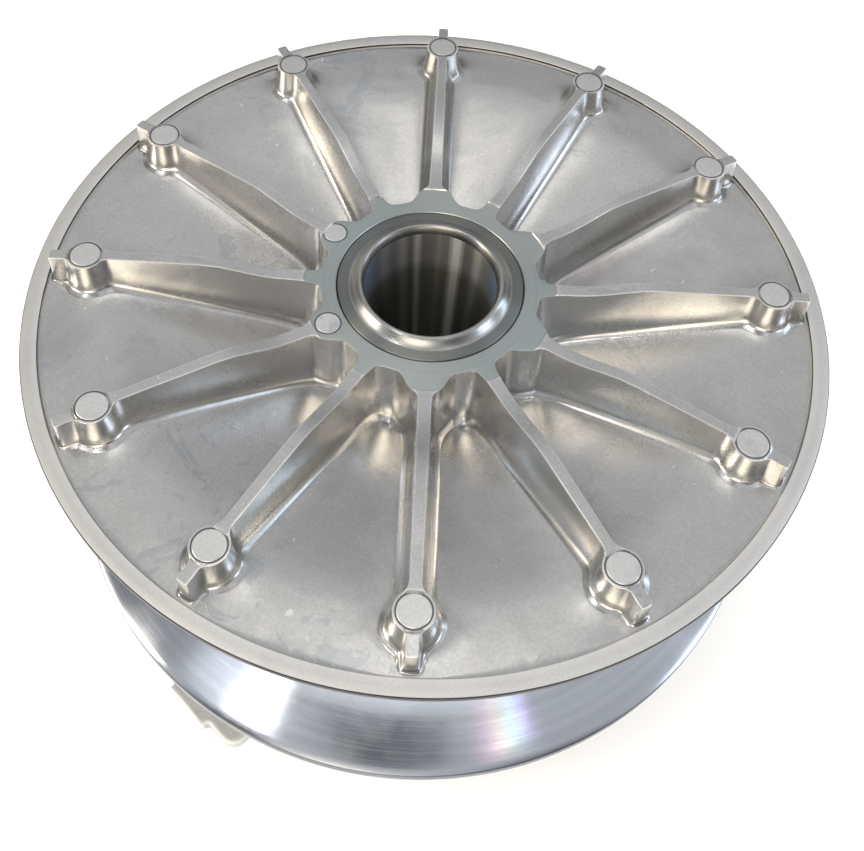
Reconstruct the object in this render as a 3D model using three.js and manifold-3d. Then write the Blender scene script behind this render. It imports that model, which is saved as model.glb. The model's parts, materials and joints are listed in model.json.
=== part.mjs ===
// Drive (primary) clutch of a belt CVT: a two-sheave variable pulley with its
// flyweights, spider, return spring and cover. It stands on the nose of its
// cover, so the ribbed fixed sheave is on top and the axis is vertical.
//
// Units are millimetres, +Z up. All the geometry is written with z = 0 on the
// machined rim face of the fixed sheave; the outer group lifts it by RIM_Z so
// that the origin is on the axis, at the foot of the cover nose.

import * as THREE from 'three';
import { mergeVertices } from 'three/addons/utils/BufferGeometryUtils.js';
import Module from 'manifold-3d';

// ---------------------------------------------------------------- dimensions
const RIM_Z = 180;            // height of the fixed sheave's rim face above the base
const SHEAVE_R = 115;         // both sheaves, 230 mm outside diameter
const FACE_SLOPE = 0.244;     // belt face, 13.7 degrees
const GAP = 0.3;              // clearance between pieces that touch on the real object

// fixed sheave
const RIB_COUNT = 12;
const RIB_TOP = 9.3;          // rib and boss height above the rim face
const BOSS_R = 97.9;          // pitch radius of the rib-end bosses
const BOSS_TOP = 9.0;
const PLATE_Z = 5.05;         // machined hub plate
const FLANGE_R = 26.7;        // steel flange let into the plate
const RIM_UNDER = -3.8;       // outer edge of the fixed belt face
const HUB_UNDER = -24.3;      // underside of the fixed hub

// shaft
const SHAFT_SEAT_R = 21.5;    // under the idler bearing
const SHAFT_R = 20.0;         // track of the movable sheave's bushing
const SHAFT_THREAD_R = 18.0;  // spider thread
const SHAFT_PILOT_R = 13.0;   // pilot in the cover bushing
const SHAFT_SHOULDER = -106.5;
const SHAFT_END = -176.0;
const BORE_MOUTH_R = 19.5;
const TAPER_BIG_R = 18.4;     // crank taper, large end
const TAPER_SMALL_R = 16.0;   // crank taper, small end, 1:10 on diameter
const BOLT_HOLE_R = 6.6;

// movable sheave, fully open
const MOV_RIM = -78.1;        // outer edge of its belt face
const MOV_LAND = 2.3;         // width of the flat land at the edge
const MOV_EDGE = 4.0;         // height of the cylindrical edge
const POCKET_R = 29.8;        // pocket that swallows the idler bearing
const POCKET_Z = -93.5;
const TRAVEL = 33.0;          // shift stroke

// towers and cover
const LOBE_0 = -132.8;        // direction of the first tower, degrees
const SLOT_HALF = 14.3;       // half width of the slot in a tower
const WALL_T = 8.2;           // tower wall thickness
const COVER_Z = -138.0;       // upper face of the cover lobes
const COVER_T = 7.0;
const NOSE_Z = -180.0;

// spider, rollers and flyweights
const ROLLER_R = 9.0;
const ROLLER_AT = [80.0, -93.5];   // r, z of the roller axis
const PIVOT_AT = [66.0, -81.5];    // r, z of the flyweight pivot
const SWING = 24.0;                // flyweight swing over the stroke, degrees

// spring
const SPRING_MEAN_R = 27.3;
const SPRING_WIRE_R = 2.5;
const SPRING_TOP = -115.3;
const SPRING_FOOT = -173.7;
const SPRING_COILS = 4.0;

const rad = (d) => d * Math.PI / 180;

// ------------------------------------------------------------------- helpers
const wasm = await Module();
wasm.setup();

// closed, position-only copy of a geometry, as a solid
function solid(geometry) {
  let g = geometry.clone();
  for (const name of Object.keys(g.attributes)) if (name !== 'position') g.deleteAttribute(name);
  g = mergeVertices(g, 1e-4);
  let index = Array.from(g.index.array);
  const p = g.attributes.position;
  // drop collapsed triangles and turn the whole skin outwards if it is inside out
  const tris = [];
  let vol = 0;
  for (let i = 0; i < index.length; i += 3) {
    const [a, b, c] = [index[i], index[i + 1], index[i + 2]];
    if (a === b || b === c || c === a) continue;
    tris.push(a, b, c);
    const A = new THREE.Vector3().fromBufferAttribute(p, a);
    const B = new THREE.Vector3().fromBufferAttribute(p, b);
    const C = new THREE.Vector3().fromBufferAttribute(p, c);
    vol += A.dot(B.cross(C));
  }
  if (vol < 0) for (let i = 0; i < tris.length; i += 3) { const t = tris[i]; tris[i] = tris[i + 1]; tris[i + 1] = t; }
  return new wasm.Manifold(new wasm.Mesh({
    numProp: 3,
    vertProperties: Float32Array.from(p.array),
    triVerts: Uint32Array.from(tris),
  }));
}

function geometryOf(manifold) {
  const m = manifold.getMesh();
  const g = new THREE.BufferGeometry();
  const n = m.numProp;
  const pos = new Float32Array(m.vertProperties.length / n * 3);
  for (let i = 0, k = 0; i < m.vertProperties.length; i += n) {
    pos[k++] = m.vertProperties[i]; pos[k++] = m.vertProperties[i + 1]; pos[k++] = m.vertProperties[i + 2];
  }
  g.setAttribute('position', new THREE.BufferAttribute(pos, 3));
  g.setIndex(new THREE.BufferAttribute(Uint32Array.from(m.triVerts), 1));
  g.computeVertexNormals();
  return g;
}

const join = (parts) => parts.reduce((a, b) => a.add(b));

// solid of revolution about Z from [r, z] pairs; a profile off the axis is closed
function lathe(profile, segments) {
  const pts = profile.map(([r, z]) => new THREE.Vector2(r, z));
  const first = profile[0], last = profile[profile.length - 1];
  if (first[0] > 1e-6 || last[0] > 1e-6) pts.push(pts[0].clone());
  const g = new THREE.LatheGeometry(pts, segments);
  g.rotateX(Math.PI / 2);
  return g;
}

function shapeOf(pts) {
  const s = new THREE.Shape();
  s.moveTo(pts[0][0], pts[0][1]);
  for (let i = 1; i < pts.length; i++) s.lineTo(pts[i][0], pts[i][1]);
  s.closePath();
  return s;
}

// plan outline pulled from z0 up to z1
function prism(pts, z0, z1) {
  const g = new THREE.ExtrudeGeometry(shapeOf(pts), { depth: z1 - z0, bevelEnabled: false });
  g.translate(0, 0, z0);
  return g;
}

// side outline in [r, z], pulled tangentially from t0 to t1, then turned to angle a
function sidePrism(pts, t0, t1, a = 0) {
  const g = new THREE.ExtrudeGeometry(shapeOf(pts), { depth: t1 - t0, bevelEnabled: false });
  g.rotateX(Math.PI / 2);
  g.translate(0, t1, 0);
  g.rotateZ(rad(a));
  return g;
}

// cylinder along the tangential direction at [r, z], turned to angle a
function pinAt([r, z], radius, t0, t1, a, segments = 24) {
  const g = new THREE.CylinderGeometry(radius, radius, t1 - t0, segments);
  g.translate(r, (t0 + t1) / 2, z);
  g.rotateZ(rad(a));
  return g;
}

// upright cylinder or cone
function post(x, y, rTop, rBottom, z0, z1, segments = 24) {
  const g = new THREE.CylinderGeometry(rTop, rBottom, z1 - z0, segments);
  g.rotateX(Math.PI / 2);
  g.translate(x, y, (z0 + z1) / 2);
  return g;
}

function ringTube(rIn, rOut, z0, z1, segments) {
  return lathe([[rIn, z0], [rOut, z0], [rOut, z1], [rIn, z1]], segments);
}

function arc(cx, cy, r, a0, a1, n) {
  const pts = [];
  for (let i = 0; i <= n; i++) {
    const a = rad(a0 + (a1 - a0) * i / n);
    pts.push([cx + r * Math.cos(a), cy + r * Math.sin(a)]);
  }
  return pts;
}

function hexagon(cx, cy, acrossFlats, turn = 0) {
  const r = acrossFlats / 2 / Math.cos(Math.PI / 6);
  const pts = [];
  for (let i = 0; i < 6; i++) pts.push([cx + r * Math.cos(rad(60 * i + turn)), cy + r * Math.sin(rad(60 * i + turn))]);
  return pts;
}

const mats = {
  castAluminium: () => new THREE.MeshStandardMaterial({ color: 0xa9adae, roughness: 0.5, metalness: 0.85 }),
  turnedAluminium: () => new THREE.MeshStandardMaterial({ color: 0xbcc0c1, roughness: 0.32, metalness: 0.95 }),
  turnedSteel: () => new THREE.MeshStandardMaterial({ color: 0x77736b, roughness: 0.3, metalness: 1.0 }),
  blackSteel: () => new THREE.MeshStandardMaterial({ color: 0x2c2b2a, roughness: 0.45, metalness: 0.9 }),
  springSteel: () => new THREE.MeshStandardMaterial({ color: 0x4b4f57, roughness: 0.4, metalness: 0.9 }),
  zinc: () => new THREE.MeshStandardMaterial({ color: 0xb9b9b2, roughness: 0.35, metalness: 0.95 }),
  bronze: () => new THREE.MeshStandardMaterial({ color: 0x9a7440, roughness: 0.4, metalness: 0.9 }),
  liner: () => new THREE.MeshStandardMaterial({ color: 0x3c3a36, roughness: 0.7, metalness: 0.1 }),
};

const clutch = new THREE.Group();
clutch.position.z = RIM_Z;

function place(name, manifoldOrGeometry, material) {
  let g = manifoldOrGeometry.isBufferGeometry ? geometryOf(solid(manifoldOrGeometry)) : geometryOf(manifoldOrGeometry);
  const mesh = new THREE.Mesh(g, material);
  mesh.name = name;
  clutch.add(mesh);
  return mesh;
}

const lobes = [LOBE_0, LOBE_0 + 120, LOBE_0 + 240];
const ribs = Array.from({ length: RIB_COUNT }, (_, k) => -90 - 30 * k);

// upper side of the fixed sheave's web, by radius
const WEB = [[33, -16.2], [58, -9.6], [80, -4.0], [90, -1.8], [99.5, -1.2], [109.6, -1.2]];

// --------------------------------------------------------------- fixed sheave
{
  const body = solid(lathe([
    [FLANGE_R + GAP, PLATE_Z], [32.0, PLATE_Z], [34.2, -14.5],
    ...WEB.slice(1).filter(([r]) => r !== 99.5), [110.4, 0], [SHEAVE_R, 0],
    [SHEAVE_R, RIM_UNDER + 0.6], [SHEAVE_R - 0.6, RIM_UNDER],
    [31, HUB_UNDER],
    [SHAFT_SEAT_R + GAP, HUB_UNDER], [SHAFT_SEAT_R + GAP, -12.3], [FLANGE_R + GAP, -12.3],
  ], 48));

  const parts = [body];
  ribs.forEach((a, k) => {
    // rib, with its sloping top towards the hub
    const top = [[37, 5.2], [47, 5.6], [60, 8.9], [66, RIB_TOP], [96, RIB_TOP]];
    const foot = [[96, -2.6], [80, -5], [33, -17.2]];
    parts.push(solid(sidePrism([[31, PLATE_Z - 0.1], [36.2, PLATE_Z - 0.1], ...top, ...foot, [31, -17.2]], -1.9, 1.9, a)));
    // boss at the end of the rib, and the low tail beyond it
    const c = Math.cos(rad(a)), s = Math.sin(rad(a));
    parts.push(solid(post(BOSS_R * c, BOSS_R * s, 5.15, 6.6, -2.4, BOSS_TOP, 10)));
    parts.push(solid(sidePrism([[98, 8.6], [107.6, 8.6], [109.2, 7.2], [109.9, -2.4], [98, -2.4]], -1.6, 1.6, a)));
    // every second rib meets the plate through a broad ear
    if (k % 2 === 0) {
      const ear = [[29, -8], [31.2, -7.3], [33.4, -4.4], [36.7, -3.7], [36.7, 3.7], [33.4, 4.4], [31.2, 7.3], [29, 8]];
      const g = prism(ear, -14.5, PLATE_Z);
      g.rotateZ(rad(a));
      parts.push(solid(g));
    }
  });
  // keep the bore for the flange clear of the ribs' inner ends
  place('fixed_sheave', join(parts), mats.castAluminium());
}

// ---------------------------------------------------------------------- shaft
place('clutch_shaft', lathe([
  [BORE_MOUTH_R, 5.9], [20.6, 7.1], [22.2, 7.0], [23.6, PLATE_Z], [FLANGE_R, PLATE_Z], [FLANGE_R, -12.0],
  [SHAFT_SEAT_R, -12.0], [SHAFT_SEAT_R, -57.6], [18.9, -57.6], [18.9, -59.3], [SHAFT_R, -59.3],
  [SHAFT_R, SHAFT_SHOULDER], [SHAFT_THREAD_R, SHAFT_SHOULDER], [SHAFT_THREAD_R, -126.5], [SHAFT_PILOT_R, -126.5],
  [SHAFT_PILOT_R, SHAFT_END + 1.2], [SHAFT_PILOT_R - 1.2, SHAFT_END], [8.0, SHAFT_END], [8.0, -158], [BOLT_HOLE_R, -159.5],
  [BOLT_HOLE_R, -66], [15.6, -61], [TAPER_SMALL_R, -57], [TAPER_BIG_R, -9.2], [19.0, -9.0], [19.0, 5.0],
], 32), mats.turnedSteel());

// -------------------------------------------------------------- idler bearing
place('upper_thrust_washer', ringTube(SHAFT_SEAT_R + GAP, 28.2, -26.2, HUB_UNDER - GAP, 24), mats.zinc());
place('idler_needle_cage', ringTube(SHAFT_SEAT_R + GAP, 24.0, -55.2, -26.6, 24), mats.bronze());
place('idler_sleeve', lathe([[24.35, -55.4], [28.5, -55.4], [28.5, -26.5], [24.35, -26.5]], 24), mats.turnedSteel());
place('lower_thrust_washer', ringTube(SHAFT_SEAT_R + GAP, 28.2, -57.2, -55.7, 24), mats.zinc());
{
  // open circlip in its groove
  const out = arc(0, 0, 25.0, 12, 348, 20), inn = arc(0, 0, 19.4, 348, 12, 20);
  place('bearing_circlip', prism([...out, ...inn], -58.9, -57.9), mats.blackSteel());
}

// ------------------------------------------------------------- movable sheave
{
  const under = [[66, -72.9], [108, -83.2]];
  const face = (r) => MOV_RIM + FACE_SLOPE * (SHEAVE_R - MOV_LAND - r);
  const body = solid(lathe([
    [POCKET_R, face(31) - 1.2], [31, face(31)], [SHEAVE_R - MOV_LAND, MOV_RIM], [SHEAVE_R, MOV_RIM],
    [SHEAVE_R, MOV_RIM - MOV_EDGE], [113.5, -83.6], ...under.slice().reverse().filter(([r]) => r > 36), [35.6, -67.5],
    [35.6, -94.9], [26.5, -94.9], [26.5, -105.4], [23.0, -105.4], [23.0, POCKET_Z], [POCKET_R, POCKET_Z],
  ], 48));
  const parts = [body];
  // radial ribs between the towers
  for (const a of lobes) {
    for (const d of [30, 45, 60, 75, 90]) {
      parts.push(solid(sidePrism([[35, -66], [35, -91], [108.5, -85.2], [108.5, -82.0], [66, -71.5]], -1.9, 1.9, a + d)));
    }
  }
  for (const a of lobes) {
    for (const side of [-1, 1]) {
      const lo = side < 0 ? -(SLOT_HALF + WALL_T) : SLOT_HALF;
      // tower wall
      parts.push(solid(sidePrism([[73.4, -74], [73.4, -110], [76, COVER_Z + GAP], [103, COVER_Z + GAP], [106, -110], [108.5, -82.5], [100, -80.4]], lo, lo + WALL_T, a)));
      // pivot ear joined to the wall's foot
      const e0 = side < 0 ? -12.6 : 5.1, e1 = side < 0 ? -5.1 : 12.6;
      const ear = [[58.5, -70.2], [58.9, PIVOT_AT[1] - 0.4], ...arc(PIVOT_AT[0], PIVOT_AT[1], 7.0, 180, 360, 8), [73.1, -73.8]];
      parts.push(solid(sidePrism(ear, e0, e1, a)));
    }
    // outer web that ties the two walls of a tower together
    parts.push(solid(sidePrism([[99, COVER_Z + GAP], [103, COVER_Z + GAP], [106, -110], [108.5, -82.5], [100, -80.4], [100, -110]], -SLOT_HALF - 1, SLOT_HALF + 1, a)));
  }
  let m = join(parts);
  for (const a of lobes) {
    // pin holes through the ears, and blind screw holes in the tower ends
    m = m.subtract(solid(pinAt(PIVOT_AT, 3.3, -13.5, 13.5, a, 12)));
    const c = Math.cos(rad(a)), s = Math.sin(rad(a));
    for (const t of [-1, 1]) {
      const tx = t * (SLOT_HALF + WALL_T / 2);
      m = m.subtract(solid(post(89 * c - tx * s, 89 * s + tx * c, 2.85, 2.85, COVER_Z - 1, COVER_Z + 19, 10)));
    }
  }
  place('movable_sheave', m, mats.turnedAluminium());
}
place('sheave_bushing', ringTube(SHAFT_R + GAP, 22.7, -105.2, POCKET_Z - 1.5, 24), mats.bronze());

// --------------------------------------------------------------------- spider
{
  const hub = solid(lathe([
    [SHAFT_THREAD_R + GAP, -108.1], [27.5, -108.1], [27.5, -96.6], [37.2, -96.6], [37.2, -102.0], [31.5, -102.5],
    [31.5, -115.0], [SHAFT_THREAD_R + GAP, -115.0],
  ], 24));
  const parts = [hub];
  const eye = arc(ROLLER_AT[0], ROLLER_AT[1], 7.8, 100, -80, 7);
  for (const a of lobes) {
    for (const side of [-1, 1]) {
      const t0 = side < 0 ? -12.2 : 7.2, t1 = side < 0 ? -7.2 : 12.2;
      parts.push(solid(sidePrism([[34, -96.8], [37.6, -96.8], [41, -91.8], [71, -91.8], [74.5, -87.6], ...eye, [78, -101.9], [34, -101.9]], t0, t1, a)));
    }
    // bridge between the two prongs near the hub
    parts.push(solid(sidePrism([[34, -96.8], [37.6, -96.8], [40, -93.4], [43.5, -93.4], [43.5, -101.9], [34, -101.9]], -8, 8, a)));
  }
  let m = join(parts);
  for (const a of lobes) m = m.subtract(solid(pinAt(ROLLER_AT, 3.8, -14, 14, a, 12)));
  place('spider', m, mats.castAluminium());
}
place('spider_shim', ringTube(SHAFT_THREAD_R + GAP, 24.5, -107.8, SHAFT_SHOULDER - GAP, 24), mats.zinc());
{
  const hex = solid(prism(hexagon(0, 0, 40), -123.0, -115.3));
  const cut = solid(post(0, 0, SHAFT_THREAD_R + GAP, SHAFT_THREAD_R + GAP, -124, -114, 24));
  place('spider_nut', hex.subtract(cut), mats.blackSteel());
}

lobes.forEach((a, i) => {
  const n = i + 1;
  // roller with a bush bore, its pin, and the two slider buttons on the arm
  const roller = solid(pinAt(ROLLER_AT, ROLLER_R, -6.1, 6.1, a, 24)).subtract(solid(pinAt(ROLLER_AT, 3.9, -7, 7, a, 16)));
  place(`roller_${n}`, roller, mats.turnedSteel());
  place(`roller_pin_${n}`, pinAt(ROLLER_AT, 3.4, -12.0, 12.0, a, 12), mats.turnedSteel());
  place(`slider_button_${n}a`, pinAt(ROLLER_AT, 6.6, -14.0, -12.5, a, 16), mats.liner());
  place(`slider_button_${n}b`, pinAt(ROLLER_AT, 6.6, 12.5, 14.0, a, 16), mats.liner());

  // flyweight: cam face follows the roller's path as the pivot rises and the weight swings out
  const k = rad(SWING) / TRAVEL;
  const d = [ROLLER_AT[0] - PIVOT_AT[0], ROLLER_AT[1] - PIVOT_AT[1]];
  const path = (s) => {
    const q = k * s, z = d[1] - s;
    return [d[0] * Math.cos(q) + z * Math.sin(q), -d[0] * Math.sin(q) + z * Math.cos(q)];
  };
  const off = (s, e) => {
    const p0 = path(s - 0.01), p1 = path(s + 0.01), p = path(s);
    const tx = p1[0] - p0[0], tz = p1[1] - p0[1], l = Math.hypot(tx, tz);
    return [p[0] + e * tz / l, p[1] - e * tx / l];
  };
  const cam = [], back = [];
  for (let j = 0; j <= 9; j++) cam.push(off(TRAVEL * j / 9 + (j === 9 ? 3.5 : 0), ROLLER_R + 0.4));
  for (let j = 9; j >= 1; j--) back.push(off(TRAVEL * j / 9 + (j === 9 ? 2.5 : 0), ROLLER_R + 8.5 + 2.5 * j / 9));
  const outline = [[6.2, -2.6], ...cam, ...back, [-7.2, -2.0]];
  const at = (pts) => pts.map(([x, z]) => [x + PIVOT_AT[0], z + PIVOT_AT[1]]);
  const w = solid(sidePrism(at(outline), -4.4, 4.4, a))
    .add(solid(pinAt(PIVOT_AT, 7.4, -4.4, 4.4, a, 20)))
    .subtract(solid(pinAt(PIVOT_AT, 3.35, -6, 6, a, 12)));
  place(`flyweight_${n}`, w, mats.blackSteel());

  // pivot screw through the ears, with its nut outside
  const screw = solid(pinAt(PIVOT_AT, 2.95, -17.0, 13.6, a, 12)).add(solid(pinAt(PIVOT_AT, 5.2, 12.95, 16.2, a, 12)));
  place(`flyweight_pin_${n}`, screw, mats.zinc());
  const hexN = hexagon(PIVOT_AT[0], PIVOT_AT[1], 9.5);
  const nut = solid(sidePrism(hexN, -16.6, -12.95, a)).subtract(solid(pinAt(PIVOT_AT, 3.35, -18, -11, a, 12)));
  place(`flyweight_nut_${n}`, nut, mats.zinc());
});

// --------------------------------------------------------------------- spring
{
  const pts = [];
  const turns = SPRING_COILS, steps = 12 * turns;
  const z0 = SPRING_TOP - SPRING_WIRE_R, z1 = SPRING_FOOT + SPRING_WIRE_R;
  for (let i = 0; i <= steps; i++) {
    const u = i / steps, a = 2 * Math.PI * turns * u;
    // closed end coils: the pitch eases off over the first and last half turn
    const e = 0.09, f = u < e ? u * u / (2 * e) : u > 1 - e ? (1 - e) - (1 - u) * (1 - u) / (2 * e) + e * 0 + e / 1 - e / 2 : u - e / 2;
    pts.push([a, f]);
  }
  const f0 = pts[0][1], f1 = pts[pts.length - 1][1];
  const line = pts.map(([a, f]) => new THREE.Vector3(SPRING_MEAN_R * Math.cos(a), SPRING_MEAN_R * Math.sin(a), z0 + (z1 - z0) * (f - f0) / (f1 - f0)));
  const curve = new THREE.CatmullRomCurve3(line);
  const ring = arc(0, 0, SPRING_WIRE_R, 0, 300, 5);
  const g = new THREE.ExtrudeGeometry(shapeOf(ring), { steps: steps, extrudePath: curve, bevelEnabled: false });
  place('return_spring', g, mats.springSteel());
}

// ---------------------------------------------------------------------- cover
{
  const cup = solid(lathe([
    [16.0, -161.5], [19.6, -161.5], [20.2, -162.5], [20.2, -174.0], [32.0, -174.0], [32.4, -172], [33.4, COVER_Z],
    [46, COVER_Z], [46, COVER_Z - COVER_T], [38.2, COVER_Z - COVER_T - 1], [36.4, -170.5], [33.0, NOSE_Z], [16.0, NOSE_Z],
  ], 30));
  const parts = [cup];
  for (const a of lobes) {
    const w = SLOT_HALF + WALL_T;
    const outline = [[40, -w], ...arc(106, -w + 5, 5, -90, 0, 3), ...arc(106, w - 5, 5, 0, 90, 3), [40, w], [34, 18], [34, -18]];
    const plate = prism(outline, COVER_Z - COVER_T, COVER_Z);
    plate.rotateZ(rad(a));
    // drop the inner part that would close the cup
    parts.push(solid(plate));
    // raised lip at the lobe's end
    const lip = prism([[110.6, -9.2], [113.6, -9.2], [113.6, 9.2], [110.6, 9.2]], COVER_Z - COVER_T, COVER_Z);
    lip.rotateZ(rad(a));
    parts.push(solid(lip));
    // stiffening ribs from the cup to the lobe's end
    for (const t of [-9.4, 9.4]) {
      parts.push(solid(sidePrism([[34.5, -145], [104, -145], [104, -148], [70, -152], [37, -160], [34.5, -160]], t - 1.7, t + 1.7, a)));
    }
  }
  let m = join(parts);
  m = m.subtract(solid(post(0, 0, 33.4, 32.45, -172, COVER_Z + 0.5, 30)));
  m = m.add(solid(lathe([[16.0, -161.5], [19.6, -161.5], [20.2, -162.5], [20.2, -176.0], [16.0, -176.0]], 30)));
  for (const a of lobes) {
    const c = Math.cos(rad(a)), s = Math.sin(rad(a));
    for (const t of [-1, 1]) {
      const tx = t * (SLOT_HALF + WALL_T / 2);
      m = m.subtract(solid(post(89 * c - tx * s, 89 * s + tx * c, 3.3, 3.3, COVER_Z - COVER_T - 9, COVER_Z + 1, 10)));
    }
  }
  place('cover', m, mats.castAluminium());
}
place('cover_bushing', ringTube(SHAFT_PILOT_R + GAP, 15.7, -178.5, -162.3, 24), mats.bronze());

lobes.forEach((a, i) => {
  const c = Math.cos(rad(a)), s = Math.sin(rad(a));
  [-1, 1].forEach((t, j) => {
    const tx = t * (SLOT_HALF + WALL_T / 2);
    const x = 89 * c - tx * s, y = 89 * s + tx * c;
    const zh = COVER_Z - COVER_T - GAP;
    const screw = solid(post(x, y, 2.4, 2.4, zh - 1, COVER_Z + 17.5, 10))
      .add(solid(prism(hexagon(x, y, 10, a), zh - 5.6, zh - 1.2)))
      .add(solid(post(x, y, 6.6, 6.6, zh - 1.4, zh, 16)));
    place(`cover_screw_${i + 1}${'ab'[j]}`, screw, mats.zinc());
  });
});

const assembly = new THREE.Group();
assembly.add(clutch);
export default assembly;
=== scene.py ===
import json
import math

import bmesh
import bpy
import numpy as np
from mathutils import Matrix, Vector

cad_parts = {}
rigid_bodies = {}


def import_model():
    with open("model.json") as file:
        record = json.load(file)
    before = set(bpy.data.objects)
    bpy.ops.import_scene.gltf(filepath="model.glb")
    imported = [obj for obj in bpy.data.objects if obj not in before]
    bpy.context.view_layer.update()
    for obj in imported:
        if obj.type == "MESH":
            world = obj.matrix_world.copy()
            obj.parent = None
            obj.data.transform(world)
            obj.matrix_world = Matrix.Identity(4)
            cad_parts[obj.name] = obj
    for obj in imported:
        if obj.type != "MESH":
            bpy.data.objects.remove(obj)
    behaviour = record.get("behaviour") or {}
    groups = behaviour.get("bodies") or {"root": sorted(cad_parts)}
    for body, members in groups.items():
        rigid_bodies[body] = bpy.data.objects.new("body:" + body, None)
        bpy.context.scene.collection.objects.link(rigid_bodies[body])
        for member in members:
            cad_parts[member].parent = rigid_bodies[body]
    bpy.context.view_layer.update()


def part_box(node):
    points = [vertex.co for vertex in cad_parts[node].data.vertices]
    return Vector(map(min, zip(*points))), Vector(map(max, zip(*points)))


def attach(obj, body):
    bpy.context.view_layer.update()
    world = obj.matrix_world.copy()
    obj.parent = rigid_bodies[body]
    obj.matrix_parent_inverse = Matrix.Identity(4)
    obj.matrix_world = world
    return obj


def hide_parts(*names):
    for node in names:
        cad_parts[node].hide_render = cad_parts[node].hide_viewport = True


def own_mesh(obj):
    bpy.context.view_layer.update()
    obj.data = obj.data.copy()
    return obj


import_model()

MM = 0.001
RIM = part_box("fixed_sheave")[1].z - 0.0093      # height of the rim face
FLOOR_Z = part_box("cover")[0].z
LOBE_0 = -132.8
LOBES = [LOBE_0, LOBE_0 + 120.0, LOBE_0 + 240.0]
RNG = np.random.default_rng(7)


# ------------------------------------------------------------------ mesh tools
def tidy(me, angle):
    bm = bmesh.new()
    bm.from_mesh(me)
    bmesh.ops.remove_doubles(bm, verts=bm.verts, dist=2e-6)
    bmesh.ops.dissolve_degenerate(bm, edges=bm.edges, dist=1e-7)
    loose = [v for v in bm.verts if not v.link_faces]
    if loose:
        bmesh.ops.delete(bm, geom=loose, context="VERTS")
    bmesh.ops.recalc_face_normals(bm, faces=bm.faces)
    bm.to_mesh(me)
    bm.free()
    me.polygons.foreach_set("use_smooth", [True] * len(me.polygons))
    me.set_sharp_from_angle(angle=math.radians(angle))
    me.update()


def make(name, verts, faces, body, mats, mat_index=None, nodes=(), angle=32.0, z0=None):
    v = np.array(verts, float).reshape(-1, 3) * MM
    v[:, 2] += RIM if z0 is None else z0
    me = bpy.data.meshes.new(name)
    me.from_pydata(v.tolist(), [], [list(f) for f in faces])
    for m in mats:
        me.materials.append(m)
    if mat_index is not None:
        me.polygons.foreach_set("material_index", list(mat_index))
    tidy(me, angle)
    o = bpy.data.objects.new(name, me)
    bpy.context.scene.collection.objects.link(o)
    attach(o, body)
    if nodes:
        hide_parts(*nodes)
    return o


class Bag:
    """Vertices and faces gathered from several shapes, with a material index per face."""

    def __init__(self):
        self.v, self.f, self.m = [], [], []

    def grid(self, p, flip=False, mat=0, close_u=False, close_v=False):
        """p is an (n, k, 3) array of points."""
        n, k = p.shape[:2]
        base = len(self.v)
        self.v.extend(p.reshape(-1, 3).tolist())
        for i in range(n if close_u else n - 1):
            for j in range(k if close_v else k - 1):
                a = base + i * k + j
                b = base + i * k + (j + 1) % k
                c = base + ((i + 1) % n) * k + (j + 1) % k
                d = base + ((i + 1) % n) * k + j
                self.f.append((a, d, c, b) if flip else (a, b, c, d))
                self.m.append(mat[j] if isinstance(mat, (list, tuple)) else (mat(i, j) if callable(mat) else mat))

    def strip(self, pa, pb, flip=False, mat=0):
        """Triangles between two rows of points that run the same way."""
        base = len(self.v)
        self.v.extend([list(x) for x in pa] + [list(x) for x in pb])
        na, nb = len(pa), len(pb)
        i = j = 0
        while i < na - 1 or j < nb - 1:
            if j == nb - 1 or (i < na - 1 and (i + 1) / (na - 1) <= (j + 1) / (nb - 1)):
                t = (base + i, base + i + 1, base + na + j)
                i += 1
            else:
                t = (base + i, base + na + j + 1, base + na + j)
                j += 1
            self.f.append(t[::-1] if flip else t)
            self.m.append(mat)

    def add(self, v, f, mat=0):
        base = len(self.v)
        self.v.extend([list(x) for x in v])
        self.f.extend([tuple(base + i for i in t) for t in f])
        self.m.extend([mat] * len(f))


def revolve(bag, profile, n=192, mat=0, centre=(0.0, 0.0), closed=True, phase=0.0):
    """Turned ring or solid from (r, z) pairs; mat may be one index per profile segment."""
    pts = list(profile)
    if closed and (pts[0][0] > 1e-6 or pts[-1][0] > 1e-6):
        pts.append(pts[0])
    a = phase + np.arange(n) * 2 * math.pi / n
    p = np.zeros((n, len(pts), 3))
    for j, (r, z) in enumerate(pts):
        p[:, j, 0] = centre[0] + r * np.cos(a)
        p[:, j, 1] = centre[1] + r * np.sin(a)
        p[:, j, 2] = z
    bag.grid(p, close_u=True, mat=mat)


def rounded(profile, radius=0.4, steps=3, keep=()):
    """Rounds every corner of a closed (r, z) profile; keep holds indices left sharp."""
    out = []
    n = len(profile)
    for i in range(n):
        a, b, c = (np.array(profile[(i + d) % n], float) for d in (-1, 0, 1))
        if i in keep:
            out.append(tuple(b))
            continue
        u, w = a - b, c - b
        lu, lw = np.linalg.norm(u), np.linalg.norm(w)
        if lu < 1e-6 or lw < 1e-6:
            continue
        e = min(radius, lu * 0.45, lw * 0.45)
        p0, p1 = b + u / lu * e, b + w / lw * e
        for s in range(steps + 1):
            t = s / steps
            out.append(tuple((1 - t) ** 2 * p0 + 2 * t * (1 - t) * b + t * t * p1))
    return out


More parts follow.
